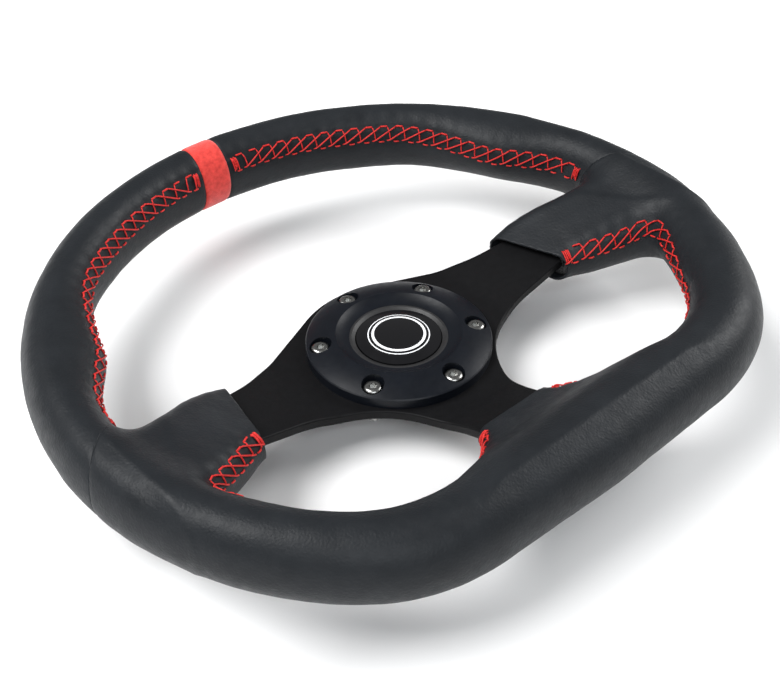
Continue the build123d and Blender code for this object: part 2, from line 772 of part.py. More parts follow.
with BuildPart() as ground_terminal:
    add(terminal(*terminal_spots[1]))
finish(ground_terminal, "ground_terminal")

with BuildPart() as terminal_rivets:
    with BuildSketch(Plane.XY.offset(fixed_contact_z)):
        with Locations(*terminal_spots):
            Circle(terminal_rivet_radius)
    extrude(amount=-(leaf + base + contact))
    with BuildSketch(Plane.XY.offset(base_low - contact)):
        with Locations(*terminal_spots):
            Circle(terminal_rivet_radius * 1.7)
    extrude(amount=-terminal_rivet_head, taper=25)
finish(terminal_rivets, "terminal_rivets")

# ---------------------------------------------------------------- horn button, moving pieces
dome_drop = cap_crown_z - cap_edge_z
dome_radius = (cap_radius**2 + dome_drop**2) / (2 * dome_drop)
with BuildPart() as cap_blank:
    with BuildSketch(Plane.XZ):
        with BuildLine():
            Line((0, cap_floor_z), (0, cap_crown_z))
            RadiusArc((0, cap_crown_z), (cap_radius, cap_edge_z), dome_radius)
            Polyline((cap_radius, cap_edge_z), (cap_radius, cap_floor_z), (0, cap_floor_z))
        make_face()
    revolve(axis=Axis.Z)

with BuildPart() as emblem_core:
    with BuildSketch(Plane.XY.offset(cap_floor_z)):
        Circle(emblem_radius)
    extrude(amount=dome_radius)

with BuildPart() as emblem_shell:
    add(cap_blank.part)
    add(cap_blank.part.moved(Location((0, 0, -emblem))), mode=Mode.SUBTRACT)
    add(emblem_core.part, mode=Mode.INTERSECT)

with BuildPart() as horn_cap:
    add(cap_blank.part)
    add(emblem_shell.part, mode=Mode.SUBTRACT)
    add(ring_piece(cap_radius, cap_radius - cap_wall, skirt_z, cap_floor_z + fit))
    add(ring_piece(catch_bore - gap, cap_radius - cap_wall, skirt_z, skirt_z + cap_catch_height))
    with BuildSketch(Plane.XY.offset(cap_floor_z)):
        Circle(plunger_radius)
    extrude(amount=plunger_socket, mode=Mode.SUBTRACT)
finish(horn_cap, "horn_cap")

with BuildPart() as emblem_disc:
    add(emblem_shell.part)
finish(emblem_disc, "emblem_disc")

with BuildPart() as horn_plunger:
    add(ring_piece(plunger_radius, 0, contact_z, cap_floor_z + plunger_socket))
    with BuildSketch(Plane.XY.offset(contact_z)):
        Circle(screw_radius)
    extrude(amount=screw_length, mode=Mode.SUBTRACT)
finish(horn_plunger, "horn_plunger")

with BuildPart() as moving_contact:
    add(ring_piece(contact_radius, screw_radius, moving_contact_low, contact_z))
finish(moving_contact, "moving_contact")

with BuildPart() as contact_screw:
    add(ring_piece(screw_radius, 0, moving_contact_low, contact_z + screw_length))
    add(ring_piece(screw_head_radius, 0, moving_contact_low - screw_head, moving_contact_low))
    with BuildSketch(Plane.XY.offset(moving_contact_low - screw_head)):
        Rectangle(2 * screw_head_radius, screw_head_radius * 0.3)
    extrude(amount=screw_head / 2, mode=Mode.SUBTRACT)
finish(contact_screw, "contact_screw")

spring_low = fixed_contact_z + spring_wire + fit
spring_high = cap_floor_z - spring_wire - fit
with BuildPart() as horn_spring:
    with BuildLine() as coil:
        coil_height = spring_high - spring_low
        turns = Helix(coil_height / spring_turns, coil_height, spring_radius, center=(0, 0, spring_low))
    with BuildSketch(Plane(origin=turns @ 0, z_dir=turns % 0)):
        Circle(spring_wire)
    sweep(path=turns)
finish(horn_spring, "horn_spring")
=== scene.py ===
"""Sports steering wheel: padded leather grip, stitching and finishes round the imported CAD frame.

Shapes are worked out in millimetres in the CAD frame (+Z to the driver, +Y to 12 o'clock)
and become metres when an object is made.
"""
from math import cos, radians, sin

import bmesh
import bpy
import numpy as np
from mathutils import Matrix, Vector, kdtree


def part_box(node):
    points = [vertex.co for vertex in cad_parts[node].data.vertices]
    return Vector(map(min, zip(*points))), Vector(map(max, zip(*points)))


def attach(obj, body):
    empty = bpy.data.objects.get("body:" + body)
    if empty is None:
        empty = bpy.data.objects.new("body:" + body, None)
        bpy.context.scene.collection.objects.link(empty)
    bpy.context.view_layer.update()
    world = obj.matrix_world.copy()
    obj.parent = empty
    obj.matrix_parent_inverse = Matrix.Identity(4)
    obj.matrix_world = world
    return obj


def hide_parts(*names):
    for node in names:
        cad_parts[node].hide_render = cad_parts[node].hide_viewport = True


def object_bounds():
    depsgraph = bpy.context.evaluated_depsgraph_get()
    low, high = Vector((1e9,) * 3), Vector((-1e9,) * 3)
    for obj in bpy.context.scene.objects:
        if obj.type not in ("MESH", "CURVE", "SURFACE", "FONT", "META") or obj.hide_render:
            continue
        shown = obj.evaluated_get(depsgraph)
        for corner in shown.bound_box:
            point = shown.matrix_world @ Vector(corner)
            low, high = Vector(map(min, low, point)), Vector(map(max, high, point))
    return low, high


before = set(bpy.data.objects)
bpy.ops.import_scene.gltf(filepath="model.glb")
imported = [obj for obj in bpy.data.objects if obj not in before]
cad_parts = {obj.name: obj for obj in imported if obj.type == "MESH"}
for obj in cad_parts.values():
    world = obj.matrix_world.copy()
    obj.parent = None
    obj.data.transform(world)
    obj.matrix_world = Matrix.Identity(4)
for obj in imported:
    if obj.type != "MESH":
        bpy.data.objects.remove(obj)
cad_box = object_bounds()
MM = 0.001


def box_mm(node):
    """Lowest and highest corner of a CAD node in millimetres."""
    low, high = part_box(node)
    return low / MM, high / MM


# ---------------------------------------------------------------- sizes taken from the CAD model
hoop_low, hoop_high = box_mm("rim_hoop")
_, plate_high = box_mm("spoke_plate")
skin_low, skin_high = box_mm("leather_lower")
bezel_low, _ = box_mm("horn_bezel")

HOOP = (hoop_high.z - hoop_low.z) / 2      # radius of the steel bar
GRIP_Z = (hoop_high.z + hoop_low.z) / 2    # height of the grip's middle line
ARC = hoop_high.x - HOOP                   # radius of the upper half circle
FLAT = -hoop_low.y - HOOP                  # hub centre to the flat bottom's middle line
DEPTH = skin_high.z - GRIP_Z               # half depth of the grip
PLATE_MID = bezel_low.z / 2                # middle of the spoke plate, which the bezel stands on

SIDE_R = 125.0                             # lower side arcs
SIDE_TURN = 52.0                           # degrees of a side arc before its corner
SIDE_X = ARC - SIDE_R
SIDE_SIN = sin(radians(SIDE_TURN))
CORNER_R = (FLAT - SIDE_R * SIDE_SIN) / (1 - SIDE_SIN)
CORNER_X = SIDE_X + (SIDE_R - CORNER_R) * cos(radians(SIDE_TURN))
CORNER_Y = -(SIDE_R - CORNER_R) * SIDE_SIN
SIDE_BEND = 50.0                           # the spokes start to rise here
BOTTOM_BEND = 48.0
TIP_GAP = 2.0                              # gap between a side spoke's tip and the hoop
SIDE_SLOPE = (GRIP_Z - PLATE_MID) / (plate_high.x + HOOP + TIP_GAP - SIDE_BEND)
BOTTOM_SLOPE = (GRIP_Z - PLATE_MID) / (FLAT - BOTTOM_BEND)

LEATHER = 1.2                              # leather thickness
MARK_HALF = 7.5                            # half width of the centre mark
SEAM_ANGLE = 40.0                          # fall of the upper leather's seams from notch to outside
COVER_END = 84.0                           # end of a side cover along X
COVER_LEAN = radians(12.3)                 # lean of that end off the Y axis
BOTTOM_END = 70.0                          # end of the bottom cover along -Y
SIDE_LOW = 17.0                            # lower edge of a side cover at its end
HUB_CLEAR = 60.0                           # no leather or foam inside this radius
SPOKE_ZONE = 45.0                          # covers end within this distance of a spoke's middle
FAR = 50.0                                 # stands for a distance too long to matter
TINY = 1e-9                                # keeps a division off zero
LONGEST_MOVE = 2.0                         # a point moves no farther than this in one settling round
BLEND = 9.0                                # width of the blend between grip and covers
STEP = 1.5                                 # grid step of the leather surface
FOAM_STEP = 2.0                            # grid step of the foam surface
GRID_FLOOR = -6.0                          # the grid starts at this height
GRID_BELOW, GRID_ABOVE = 14.0, 10.0        # room for the padding below and above the hoop along Y
RELAX_ROUNDS = 5

# room in the foam
SKIN_GAP = 0.1                             # under the leather
HOOP_GAP = 0.3                             # round the hoop
SLOT_GAP = 0.4                             # over and under a spoke
FOAM_BACK = 2.6                            # foam stops this far inside a cover's end
SLOT_START = 50.0                          # the bottom slot starts here along -Y
BOTTOM_SLOT = [(74, 18.4), (84, 11.4)]     # half width of the bottom slot by distance along -Y
SIDE_SLOT_TOP = [(84, 18.4), (98, 14.0), (129, -1.6)]   # edges of a side slot by x
SIDE_SLOT_LOW = [(90, -14.4), (129, -24.4)]

# half thickness of the grip in the wheel's plane, by polar angle: inner side with the thumb
# swells over 3 and 9 o'clock, and outer side
INNER_HALF = [(-90, 18.5), (-55, 17.5), (-38, 14.6), (-26, 16.2), (-8, 14.6), (6, 13.6), (14, 14.4),
              (20, 18.0), (26, 21.2), (33, 18.8), (44, 13.2), (60, 13.0), (90, 13.0)]
OUTER_HALF = [(-90, 17.6), (-62, 15.2), (-46, 15.8), (-34, 14.5), (-20, 12.8), (0, 12.7),
              (90, 12.6)]

# side covers by x: upper edge, lower edge and half depth
SIDE_COVER = [(60, 22.0, -16.0, 5.4), (78, 22.3, -17.0, 5.6), (90, 22.0, -20.6, 7.8),
              (102, 19.0, -27.0, 10.7), (114, 14.2, -33.0, 12.8), (126, 10.5, -40.0, 14.3),
              (140, 8.0, -52.0, 14.4)]
# bottom cover by distance along -y: half width and half depth
BOTTOM_COVER = [(58, 20.0, 5.4), (70, 20.2, 5.5), (77, 24.5, 6.5), (84, 32.5, 8.9),
                (91, 44.0, 11.9), (98, 56.0, 13.9), (110, 62.0, 13.9)]

CORNER_SHARE = 0.94                        # edge radius of a cover as a share of its half depth

# stitching
PITCH = 7.6                                # length of one stitch repeat
LOW_ROW = 3.4                              # rows, measured over the leather from the edge
HIGH_ROW = 11.2
TOP_DASH = 0.41                            # share of a repeat that the upper dash takes
# thread of one repeat: (share of the repeat along, share down from the upper row), with its
# radius and how far it stands up
STITCH = [
    ([(0.0, 0.0), (TOP_DASH, 0.0)], 0.43, 0.38),
    ([(TOP_DASH, 0.0), (0.54, 0.30), (0.62, 0.88)], 0.32, 0.30),
    ([(-0.62, 0.95), (-0.33, 0.83), (0.54, 0.30), (0.97, 0.03)], 0.36, 0.72),
    ([(-0.16, 1.0), (0.17, 1.0)], 0.40, 0.36),
]
HIDDEN_ROWS = 11.0                         # rows of a hidden seam start this far over the edge


# ---------------------------------------------------------------- shape of the soft body
def curve(table, at, column=1):
    """Smooth curve through a table's knots; flat outside them."""
    knots = np.array([row[0] for row in table], float)
    values = np.array([row[column] for row in table], float)
    slopes = np.gradient(values, knots)
    at = np.clip(at, knots[0], knots[-1])
    i = np.clip(np.searchsorted(knots, at) - 1, 0, len(knots) - 2)
    span = knots[i + 1] - knots[i]
    t = (at - knots[i]) / span
    return (values[i] * (1 + 2 * t) * (1 - t) ** 2 + slopes[i] * span * t * (1 - t) ** 2
            + values[i + 1] * t * t * (3 - 2 * t) + slopes[i + 1] * span * t * t * (t - 1))


def straight(table, at):
    """Straight lines through a table's knots; flat outside them."""
    return np.interp(at, *zip(*table))


def outward(x, y):
    """Distance outward from the grip's middle line in the wheel's plane; x is 0 or more."""
    turn = np.degrees(np.arctan2(-y, x - SIDE_X))
    return np.select(
        [y >= 0, turn < SIDE_TURN, x > CORNER_X],
        [np.hypot(x, y) - ARC, np.hypot(x - SIDE_X, y) - SIDE_R,
         np.hypot(x - CORNER_X, y - CORNER_Y) - CORNER_R],
        -y - FLAT,
    )


def rounded_box(u, v, half_u, half_v, edge):
    """Distance to a rounded rectangle."""
    qu, qv = np.abs(u) - (half_u - edge), np.abs(v) - (half_v - edge)
    outside = np.hypot(np.maximum(qu, 0), np.maximum(qv, 0))
    return outside + np.minimum(np.maximum(qu, qv), 0) - edge


def joined(a, b, width):
    """Union of two shapes with a soft blend."""
    h = np.maximum(width - np.abs(a - b), 0) / width
    return np.minimum(a, b) - h * h * width / 4


def grip(x, y, z):
    """Distance to the grip, about."""
    d = outward(x, y)
    angle = np.degrees(np.arctan2(y, x))
    half = np.where(d < 0, curve(INNER_HALF, angle), curve(OUTER_HALF, angle))
    a, b = d / half, (z - GRIP_Z) / DEPTH
    near = np.hypot(a, b)
    return near * (near - 1) / np.maximum(np.hypot(a / half, b / DEPTH), 1e-6)


def side_mid(x):
    """Height of a side spoke's middle."""
    return PLATE_MID + (x - SIDE_BEND) * SIDE_SLOPE


def bottom_mid(y):
    """Height of the bottom spoke's middle."""
    return PLATE_MID + (-y - BOTTOM_BEND) * BOTTOM_SLOPE


def side_cover(x, y, z):
    """Distance to a side cover, about."""
    top, low, depth = (curve(SIDE_COVER, x, column) for column in (1, 2, 3))
    shape = rounded_box(y - (top + low) / 2, z - side_mid(x), (top - low) / 2, depth, CORNER_SHARE * depth)
    return np.maximum(shape, x - SIDE_COVER[-1][0])


def bottom_cover(x, y, z):
    """Distance to the bottom cover, about."""
    half, depth = curve(BOTTOM_COVER, -y), curve(BOTTOM_COVER, -y, 2)
    shape = rounded_box(x, z - bottom_mid(y), half, depth, CORNER_SHARE * depth)
    return np.maximum(shape, -y - BOTTOM_COVER[-1][0])


def soft_body(p):
    """Distance to the leather's outer face for points in rows, about; negative inside."""
    x, y, z = np.abs(p[..., 0]), p[..., 1], p[..., 2]
    shape = joined(grip(x, y, z), side_cover(x, y, z), BLEND)
    return joined(shape, bottom_cover(x, y, z), BLEND)


def past_covers(p):
    """How far a point lies past the end of its spoke cover, toward the hub."""
    x, y = np.abs(p[..., 0]), p[..., 1]
    side = (COVER_END - x) * cos(COVER_LEAN) - y * sin(COVER_LEAN)
    low = y + BOTTOM_END
    beyond = np.where((x < SPOKE_ZONE) & (y < 0), low, -FAR)
    beyond = np.where((x > SPOKE_ZONE) & (np.abs(y) < SPOKE_ZONE), side, beyond)
    return np.where(np.hypot(x, y) < HUB_CLEAR, FAR, beyond)


def foam_body(p):
    """Distance to the foam: inside the leather, with room for the hoop and the plate."""
    x, y, z = np.abs(p[..., 0]), p[..., 1], p[..., 2]
    shape = soft_body(p) + LEATHER + SKIN_GAP
    hoop = np.hypot(outward(x, y), z - GRIP_Z) - HOOP - HOOP_GAP
    top, low = straight(SIDE_SLOT_TOP, x), straight(SIDE_SLOT_LOW, x)
    slot = PLATE_MID + SLOT_GAP
    side = np.maximum(np.abs(y - (top + low) / 2) - (top - low) / 2, np.abs(z - side_mid(x)) - slot)
    side = np.maximum(side, np.maximum(x - ARC, HUB_CLEAR - x))
    bottom = np.maximum(x - straight(BOTTOM_SLOT, -y), np.abs(z - bottom_mid(y)) - slot)
    bottom = np.maximum(bottom, np.maximum(-y - FLAT, y + SLOT_START))
    shape = np.maximum(np.maximum(shape, -hoop), -np.minimum(side, bottom))
    return np.maximum(shape, past_covers(p) + FOAM_BACK)


def slope(field, p):
    """Direction in which the distance grows, and how fast."""
    h = 0.05
    g = np.stack([field(p + d) - field(p - d) for d in np.eye(3) * h], axis=-1)
    size = np.linalg.norm(g, axis=-1, keepdims=True)
    return g / np.maximum(size, TINY), size[..., 0] / (2 * h)


def settle(field, p, rounds=3):
    """Points moved onto the surface."""
    for _ in range(rounds):
        direction, rate = slope(field, p)
        move = np.clip(field(p) / np.maximum(rate, 0.2), -LONGEST_MOVE, LONGEST_MOVE)
        p = p - direction * move[..., None]
    return p


def skin(field, step):
    """Vertices and quads of the field's zero surface on a regular grid."""
    low = np.array([skin_low.x, hoop_low.y - GRID_BELOW, GRID_FLOOR]) - 3 * step
    high = np.array([skin_high.x, hoop_high.y + GRID_ABOVE, skin_high.z]) + 3 * step
    axes = [np.arange(a, b, step) for a, b in zip(low, high)]
    points = np.stack(np.meshgrid(*axes, indexing="ij"), axis=-1)
    inside = field(points) < 0
    cells = np.array(inside.shape)
    quads = []
    for turn in ((0, 1, 2), (1, 2, 0), (2, 0, 1)):
        grid = inside.transpose(turn)
        change = grid[:-1, 1:-1, 1:-1] != grid[1:, 1:-1, 1:-1]
        i, j, k = np.nonzero(change)
        j, k = j + 1, k + 1
        ring = [(i, j - 1, k - 1), (i, j, k - 1), (i, j, k), (i, j - 1, k)]
        order = np.argsort(turn)
        ids = np.stack([
            np.ravel_multi_index(tuple(corner[n] for n in order), cells) for corner in ring
        ], axis=1)
        rising = grid[i, j, k]
        ids[~rising] = ids[~rising][:, ::-1]
        quads.append(ids)
    quads = np.concatenate(quads)
    used, quads = np.unique(quads, return_inverse=True)
    quads = quads.reshape(-1, 4)
    where = np.stack(np.unravel_index(used, cells), axis=1)
    verts = low + (where + 0.5) * step
    for _ in range(RELAX_ROUNDS):
        verts = settle(field, relaxed(verts, quads), 2)
    return settle(field, verts, 2), quads


def relaxed(verts, quads):
    """Vertices moved to the middle of their neighbours."""
    total, count = np.zeros_like(verts), np.zeros(len(verts))
    for a, b in ((0, 1), (1, 2), (2, 3), (3, 0)):
        for one, other in ((a, b), (b, a)):
            np.add.at(total, quads[:, one], verts[quads[:, other]])
            np.add.at(count, quads[:, one], 1)
    return total / np.maximum(count, 1)[:, None]


def wave_noise(p, length, seed, waves=7):
    """Smooth noise of about -1 to 1 from waves of a given length in mixed directions."""
    rng = np.random.default_rng(seed)
    total = np.zeros(p.shape[:-1])
    for _ in range(waves):
        direction = rng.normal(size=3)
        direction *= 2 * np.pi / (length * rng.uniform(0.7, 1.5) * np.linalg.norm(direction))
        total += np.sin(p @ direction + rng.uniform(0, 2 * np.pi))
    return total / np.sqrt(waves * 2)


# ---------------------------------------------------------------- stitch rails
EDGE_POINTS = 900                          # most points an opening's edge may take, 1 mm apart
EDGE_TOP = 44.0                            # the edge is looked for from the plate's back to here
ROW_STEP = 0.6                             # spacing of the walked surface grid
SPARE_ROWS = 12                            # rows of a strip above its upper stitch row
HIDDEN_SHARE = 1.6                         # rows walked down, over the rows of a hidden seam


def opening_edge(start, heading, stop):
    """Points along the edge of an opening, seen from above, from a start in a rough heading."""
    heights = np.arange(0.0, EDGE_TOP, 1.0)

    def nearest(p):
        """Field value in the wheel's plane and the height where it is lowest."""
        column = np.stack([np.full_like(heights, p[0]), np.full_like(heights, p[1]), heights], axis=1)
        values = soft_body(column)
        return values.min(), heights[values.argmin()]

    def gradient(p):
        """Way across the edge in the wheel's plane."""
        h = 0.1
        g = np.array([nearest(p + d)[0] - nearest(p - d)[0] for d in np.eye(2) * h])
        return g / max(np.linalg.norm(g), TINY)

    p, heading = np.array(start, float), np.array(heading, float)
    points = []
    for _ in range(EDGE_POINTS):
        for _ in range(3):
            p = p - gradient(p) * np.clip(nearest(p)[0], -LONGEST_MOVE, LONGEST_MOVE)
        away = gradient(p)
        along = np.array([-away[1], away[0]])
        along *= 1.0 if along @ heading > 0 else -1.0
        points.append((*p, nearest(p)[1]))
        if stop(p):
            break
        heading = along
        p = p + along
    return np.array(points)


def smoothed(points, width):
    """Running mean along a line; the ends stay."""
    ends = np.repeat(points[:1], width, 0), np.repeat(points[-1:], width, 0)
    padded = np.concatenate([ends[0], points, ends[1]])
    kernel = np.ones(2 * width + 1) / (2 * width + 1)
    columns = [np.convolve(column, kernel, "valid") for column in padded.T]
    return np.stack(columns, axis=1)


def evenly(points, step):
    """A line's points at an even spacing."""
    lengths = np.concatenate([[0], np.cumsum(np.linalg.norm(np.diff(points, axis=0), axis=1))])
    at = np.linspace(0, lengths[-1], int(lengths[-1] / step) + 1)
    return np.stack([np.interp(at, lengths, column) for column in points.T], axis=1)


def walked(start, along, side, steps):
    """Rows of surface points from a start row, up or down over the leather across the edge."""
    p, rows = start, []
    for _ in range(steps):
        normal, _ = slope(soft_body, p)
        normal = normal - along * (normal * along).sum(1, keepdims=True)
        normal /= np.maximum(np.linalg.norm(normal, axis=1, keepdims=True), TINY)
        p = settle(soft_body, p + np.cross(along, normal) * side * ROW_STEP, 2)
        rows.append(p)
    return rows


def seam_strip(edge, drop=0.0, fall=None):
    """Grid of surface points: along the edge, and up over the leather from it.

    drop lowers the first row over the edge; fall gives a further drop by place.
    """
    edge = smoothed(edge, 4)
    edge[:, 2] = smoothed(edge, 8)[:, 2]
    edge = evenly(edge, ROW_STEP)
    along = np.gradient(edge, axis=0)
    along[:, 2] = 0
    along /= np.linalg.norm(along, axis=1, keepdims=True)
    along = smoothed(along, 6)
    along /= np.linalg.norm(along, axis=1, keepdims=True)
    start = settle(soft_body, edge, 3)
    side = np.sign(np.cross(along[0], slope(soft_body, start[:1])[0][0])[2])
    down = walked(start, along, -side, int(HIDDEN_ROWS * HIDDEN_SHARE / ROW_STEP))
    up = walked(start, along, side, int(HIGH_ROW / ROW_STEP) + SPARE_ROWS + 2)
    grid = np.stack(down[::-1] + [start] + up, axis=1)
    drops = np.full(len(edge), drop) + (fall(edge) if fall else 0.0)
    rows = np.arange(int(HIGH_ROW / ROW_STEP) + SPARE_ROWS)
    place = len(down) + rows[None, :] - (drops / ROW_STEP)[:, None]
    low = np.clip(place.astype(int), 0, grid.shape[1] - 2)
    share = (place - low)[..., None]
    index = np.arange(len(edge))[:, None]
    return grid[index, low] * (1 - share) + grid[index, low + 1] * share


def strip_point(strip, s, t):
    """Surface point at a distance s along a strip and t up from the edge."""
    a = np.clip(np.asarray(s) / ROW_STEP, 0, strip.shape[0] - 1.001)
    b = np.clip(np.asarray(t) / ROW_STEP, 0, strip.shape[1] - 1.001)
    i, j = a.astype(int), b.astype(int)
    fa, fb = (a - i)[:, None], (b - j)[:, None]
    low = strip[i, j] * (1 - fa) + strip[i + 1, j] * fa
    high = strip[i, j + 1] * (1 - fa) + strip[i + 1, j + 1] * fa
    return low * (1 - fb) + high * fb


END_ROOM = 2.0                             # a seam's repeats leave this much of its length free
FIRST_REPEAT = 0.3                         # share of a repeat before the first one
END_MARGIN = 0.4                           # thread stays this far inside a seam's ends
KNOT_TURNS = 4                             # turns of a knot at a seam's end
KNOT_END, KNOT_STEP, KNOT_LEAN = 0.7, 0.75, 0.8
KNOT_RADIUS, KNOT_LIFT, KNOT_PILE = 0.36, 0.42, 0.22
THREAD_SIDES = 6                           # sides of a thread's tube
THREAD_STEP, SHORT_STEP = 0.85, 0.25       # spacing of a thread's rings, and on short stretches
FEWEST_RINGS = 5
DIP, DIP_RINGS = 1.0, 1.6                  # how deep a thread's ends go, and over how many rings


def thread_runs(length):
    """Stretches of thread as (points as (s, t), radius, lift), with knots at a seam's ends."""
    gap = HIGH_ROW - LOW_ROW
    count = int((length - END_ROOM) // PITCH)
    start = (length - count * PITCH) / 2 + FIRST_REPEAT * PITCH
    runs = []
    for k in range(count):
        for path, radius, lift in STITCH:
            points = [(start + (k + s) * PITCH, HIGH_ROW - t * gap) for s, t in path]
            if END_MARGIN < points[0][0] and points[-1][0] < length - END_MARGIN:
                runs.append((points, radius, lift))
    for end, turn in ((KNOT_END, 1), (length - KNOT_END, -1)):
        for k in range(KNOT_TURNS):
            s = end + turn * KNOT_STEP * k
            points = [(s, HIGH_ROW - 0.4 - 0.5 * (k % 2)), (s + turn * KNOT_LEAN, LOW_ROW + 0.9 * (k % 3))]
            runs.append((points, KNOT_RADIUS, KNOT_LIFT + KNOT_PILE * (k % 2)))
    return runs


def thread_tube(points, normals, radius, lift, bm):
    """Adds one stretch of thread over the leather; its ends go down into it."""
    n = len(points)
    t = np.linspace(0, 1, n)
    rise = lift - DIP * np.clip(1 - np.minimum(t, 1 - t) * n / DIP_RINGS, 0, 1) ** 2
    line = points + normals * rise[:, None]
    along = np.gradient(line, axis=0)
    along /= np.maximum(np.linalg.norm(along, axis=1, keepdims=True), TINY)
    side = np.cross(along, normals)
    side /= np.maximum(np.linalg.norm(side, axis=1, keepdims=True), TINY)
    over = np.cross(side, along)
    rings = []
    for i in range(n):
        ring = []
        for a in np.arange(THREAD_SIDES) * 2 * np.pi / THREAD_SIDES:
            offset = side[i] * cos(a) + over[i] * sin(a)
            ring.append(bm.verts.new((line[i] + offset * radius) * MM))
        rings.append(ring)
    for one, other in zip(rings, rings[1:]):
        for a in range(THREAD_SIDES):
            b = (a + 1) % THREAD_SIDES
            bm.faces.new((one[a], one[b], other[b], other[a]))
    bm.faces.new(rings[0][::-1])
    bm.faces.new(rings[-1])


def stitch(bm, strip):
    """Adds the thread of one seam."""
    length = (strip.shape[0] - 1) * ROW_STEP
    for path, radius, lift in thread_runs(length):
        line = evenly(np.array(path), THREAD_STEP)
        if len(line) < FEWEST_RINGS:
            line = evenly(np.array(path), SHORT_STEP)
        points = strip_point(strip, line[:, 0], line[:, 1])
        normals, _ = slope(soft_body, points)
        thread_tube(points, normals, radius, lift, bm)


# ---------------------------------------------------------------- making objects
def new_object(name, mesh):
    """Links a mesh as a piece that rides on the wheel."""
    obj = bpy.data.objects.new(name, mesh)
    bpy.context.scene.collection.objects.link(obj)
    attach(obj, "wheel")
    return obj


def smooth(mesh):
    """Shades a mesh smooth."""
    mesh.polygons.foreach_set("use_smooth", [True] * len(mesh.polygons))
    mesh.update()
    return mesh


def mesh_of(name, verts, faces):
    """Smooth-shaded mesh in metres from points in millimetres."""
    mesh = bpy.data.meshes.new(name)
    mesh.from_pydata((verts * MM).tolist(), [], [list(map(int, f)) for f in faces])
    return smooth(mesh)


CUT_SNAP = 1e-7                            # a plane's cut snaps to corners this near


def cut_lines(bm, point, normal, near):
    """Adds edges where a plane passes through the faces that near accepts."""
    faces = [f for f in bm.faces if near(f.calc_center_median())]
    geom = list({v for f in faces for v in f.verts}) + list({e for f in faces for e in f.edges}) + faces
    bmesh.ops.bisect_plane(bm, geom=geom, dist=CUT_SNAP, plane_co=Vector(point) * MM,
                           plane_no=Vector(normal))


SEAM_FOOT = Vector((131.0, 13.5, 0))       # notch between grip and side cover
NOTCH_Y = 13.0                             # the upper stitches end here
SEAM_NORMAL = Vector((sin(radians(SEAM_ANGLE)), cos(radians(SEAM_ANGLE)), 0))
GROOVE = (-1.3, -0.6, 0.0, 0.6, 1.3)       # extra edges beside a seam
CUT_REACH = 12.0                           # a plane cuts faces no farther than this from a seam
UPPER_Y = 100.0                            # the mark lies above this
SEAM_BAND = 30.0                           # side seams lie within this distance of the X axis
END_ROWS = (0.0, -1.0)                     # cuts at a cover's end
SIDE_END_ZONE = (60.0, 105.0, 32.0)        # where a side cover's end is cut: x from, x to, half width
BOTTOM_END_ZONE = (50.0, 85.0, 34.0)       # the same for the bottom cover along -Y
COVER_ZONE = 118.0                         # inside this radius the covers go with the lower leather
RIDGE_START = (116.5, 8.0)                 # soft fold: start, direction, length and sideways bow
RIDGE_WAY = (0.32, -0.947)
RIDGE_LENGTH = 62.0
RIDGE_BOW = 3.0
RIDGE_RUN_IN, RIDGE_RUN_OUT = 8.0, 25.0
RIDGE_EDGE, RIDGE_WIDTH, RIDGE_RISE = 1.1, 7.0, 0.32
RIDGE_FLOOR = GRIP_Z - 6.0                 # the fold shows only above this
UNEVEN = [(0.16, 34.0, 3), (0.07, 12.0, 5)]     # height, wave length and seed of the padding's waves
MARK_GROOVE, SEAM_GROOVE = (0.45, 0.8), (0.16, 0.9)     # depth and width
MARK_LIFT = 0.12                           # the mark stands this much over the leather
PULL_REACH = 16.0                          # stitches pull the leather this far off
ROW_PULL, ROW_PULL_WIDTH = 0.30, 0.9       # between the rows
PUCKER, PUCKER_WIDTH = 0.16, 6.5           # crests between the stitches
EDGE_PULL, EDGE_PULL_WIDTH = 0.28, 1.6     # along the upper row


def grooved_body():
    """The whole leather surface with edges where panels and cover ends are cut."""
    verts, quads = skin(soft_body, STEP)
    mesh = mesh_of("soft_body", verts, quads)
    bm = bmesh.new()
    bm.from_mesh(mesh)
    bpy.data.meshes.remove(mesh)
    for side in (1, -1):
        normal = Vector((side * SEAM_NORMAL.x, SEAM_NORMAL.y, 0))
        foot = Vector((side * SEAM_FOOT.x, SEAM_FOOT.y, 0))

        def by_mark(c):
            return c.y > UPPER_Y * MM and abs(abs(c.x) - MARK_HALF * MM) < CUT_REACH * MM

        def by_seam(c):
            return (c.x * side > (COVER_ZONE - CUT_REACH / 2) * MM and abs(c.y) < SEAM_BAND * MM
                    and abs((c - foot * MM).dot(normal)) < CUT_REACH * MM)

        def by_side_end(c):
            first, last, half = SIDE_END_ZONE
            return first * MM < c.x * side < last * MM and abs(c.y) < half * MM

        for shift in GROOVE:
            cut_lines(bm, (side * (MARK_HALF + shift), 0, 0), (1, 0, 0), by_mark)
            cut_lines(bm, foot + normal * shift, normal, by_seam)
        for shift in END_ROWS:
            cut_lines(bm, (side * (COVER_END - shift), 0, 0),
                      (side * cos(COVER_LEAN), sin(COVER_LEAN), 0), by_side_end)

    def by_bottom_end(c):
        first, last, half = BOTTOM_END_ZONE
        return abs(c.x) < half * MM and first * MM < -c.y < last * MM

    for shift in END_ROWS:
        cut_lines(bm, (0, -BOTTOM_END + shift, 0), (0, 1, 0), by_bottom_end)
    return bm


def seam_distances(p):
    """Distance to the mark's edges and to the side seams."""
    x, y = np.abs(p[:, 0]), p[:, 1]
    mark = np.where(y > UPPER_Y, np.abs(x - MARK_HALF), FAR)
    side = np.abs((x - SEAM_FOOT.x) * SEAM_NORMAL.x + (y - SEAM_FOOT.y) * SEAM_NORMAL.y)
    side = np.where((x > COVER_ZONE) & (np.abs(y) < SEAM_BAND), side, FAR)
    return mark, side


